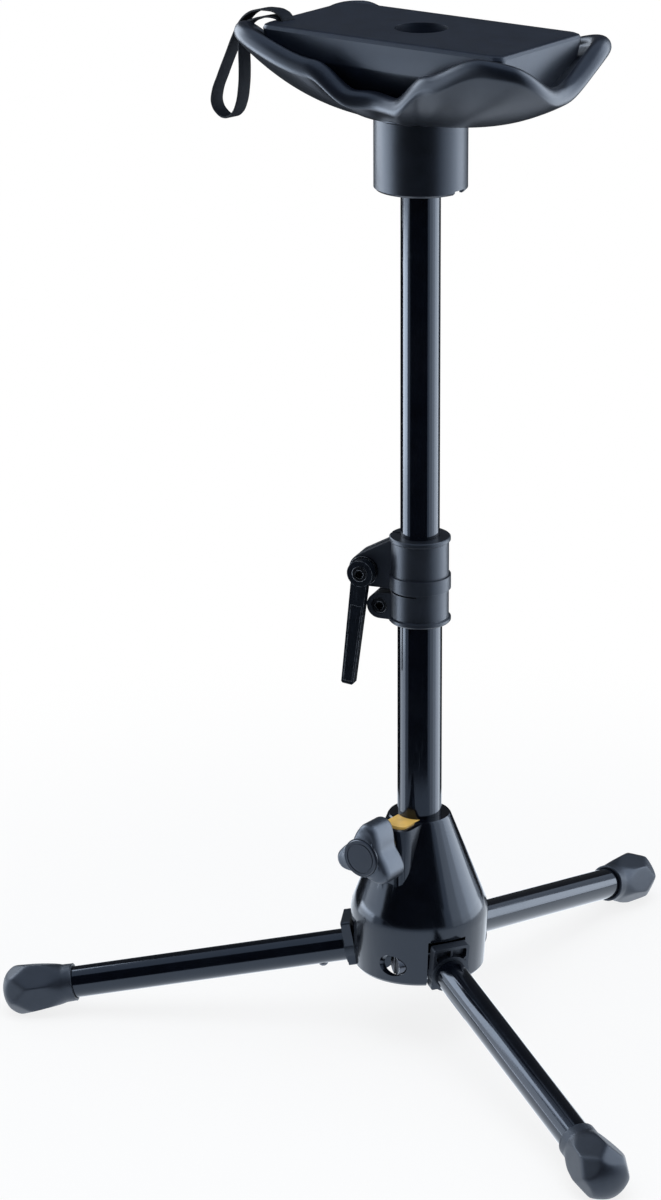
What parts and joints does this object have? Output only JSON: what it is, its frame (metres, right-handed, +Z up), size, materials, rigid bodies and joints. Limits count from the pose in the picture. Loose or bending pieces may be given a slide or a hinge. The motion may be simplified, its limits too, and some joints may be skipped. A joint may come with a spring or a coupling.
{
  "type": "tuba stand",
  "caption": "Folding tripod floor stand with telescopic column, lever height clamp, base knob and a moulded cradle with a lift-out insert block and pull strap.",
  "frame": {"origin": "on the column axis at floor level", "axes": "+Z up along the column, -Y toward the base knob, X along the long side of the cradle"},
  "size_m": [0.487, 0.4264, 0.6731],
  "materials": {
    "gloss_black_casting": "gloss black powder coat on a casting",
    "gloss_black_tube": "gloss black enamel on steel tube",
    "brass": "turned",
    "black_steel": "blackened steel",
    "bright_steel": "zinc-plated steel",
    "upper_plug_alloy": "as turned",
    "matte_black_nylon": "matt moulded nylon",
    "soft_grip_black": "matt soft-touch moulding",
    "satin_black_plastic": "satin moulded plastic",
    "amber_plastic": "satin amber moulding",
    "gloss_black_lever": "gloss black",
    "black_rubber": "matt",
    "white_glide": "natural acetal",
    "insert_black": "fine matt texture",
    "black_webbing": "woven webbing"
  },
  "bodies": {
    "base": {"hub_body": "gloss_black_casting", "knob_nut": "brass", "leg_pivot_bolts": "black_steel", "leg_pivot_nuts": "bright_steel"},
    "leg_left": {"leg_bracket_left": "matte_black_nylon", "leg_tube_left": "gloss_black_tube", "leg_screw_left": "black_steel", "rubber_foot_left": "black_rubber"},
    "leg_right": {"leg_bracket_right": "matte_black_nylon", "leg_tube_right": "gloss_black_tube", "leg_screw_right": "black_steel", "rubber_foot_right": "black_rubber"},
    "leg_rear": {"leg_bracket_rear": "matte_black_nylon", "leg_tube_rear": "gloss_black_tube", "leg_screw_rear": "black_steel", "rubber_foot_rear": "black_rubber"},
    "shoe": {"clamp_shoe": "amber_plastic"},
    "knob": {"knob_screw": "bright_steel", "star_knob": "soft_grip_black", "knob_cap": "satin_black_plastic"},
    "column_lower": {"lower_tube": "gloss_black_tube", "lower_tube_plug": "matte_black_nylon", "height_clamp": "matte_black_nylon", "clamp_liner": "matte_black_nylon", "lever_nut": "bright_steel", "fixing_bolt": "black_steel", "fixing_nut": "bright_steel"},
    "lever": {"lever_bolt": "black_steel", "lever_washer": "black_steel", "clamp_lever": "gloss_black_lever"},
    "column_upper": {"upper_tube": "gloss_black_tube", "upper_tube_glide": "white_glide", "upper_tube_top_plug": "upper_plug_alloy", "cradle_screw": "bright_steel", "cradle_washer": "bright_steel"},
    "cradle": {"cradle_socket": "satin_black_plastic", "cradle_dish": "satin_black_plastic"},
    "insert": {"insert_block": "insert_black", "strap_anchor": "bright_steel", "pull_strap": "black_webbing"}
  },
  "joints": [
    {"name": "leg_left_fold", "type": "hinge", "parent": "base", "child": "leg_left", "pos_m": [-0.02425, -0.014, 0.06199], "axis": [0.5, -0.866, 0], "range_deg": [0, 79]},
    {"name": "leg_right_fold", "type": "hinge", "parent": "base", "child": "leg_right", "pos_m": [0.02425, -0.014, 0.06199], "axis": [0.5, 0.866, 0], "range_deg": [0, 79]},
    {"name": "leg_rear_fold", "type": "hinge", "parent": "base", "child": "leg_rear", "pos_m": [0, 0.028, 0.06199], "axis": [-1, 0, 0], "range_deg": [0, 79]},
    {"name": "knob_turn", "type": "hinge", "parent": "shoe", "child": "knob", "pos_m": [0, -0.045, 0.14349], "axis": [0, -1, 0], "range_deg": [0, 540]},
    {"name": "shoe_slide", "type": "slide", "parent": "base", "child": "shoe", "axis": [0, -1, 0], "range_m": [0, 0.0019]},
    {"name": "column_slide", "type": "slide", "parent": "base", "child": "column_lower", "axis": [0, 0, 1], "range_m": [-0.034, 0.06]},
    {"name": "lever_turn", "type": "hinge", "parent": "column_lower", "child": "lever", "pos_m": [-0.03304, -0.00885, 0.3186], "axis": [-0.2588, 0.9659, 0], "range_deg": [0, 150]},
    {"name": "height_slide", "type": "slide", "parent": "column_lower", "child": "column_upper", "axis": [0, 0, 1], "range_m": [-0.138, 0.1]},
    {"name": "cradle_swivel", "type": "hinge", "parent": "column_upper", "child": "cradle", "pos_m": [0, 0, 0.59], "axis": [0, 0, 1], "continuous": true},
    {"name": "insert_lift", "type": "slide", "parent": "cradle", "child": "insert", "axis": [0, 0, 1], "range_m": [0, 0.09]}
  ],
  "couplings": [
    {"joint": "shoe_slide", "follows": "knob_turn", "m_per_rad": 0.00019894}
  ]
}
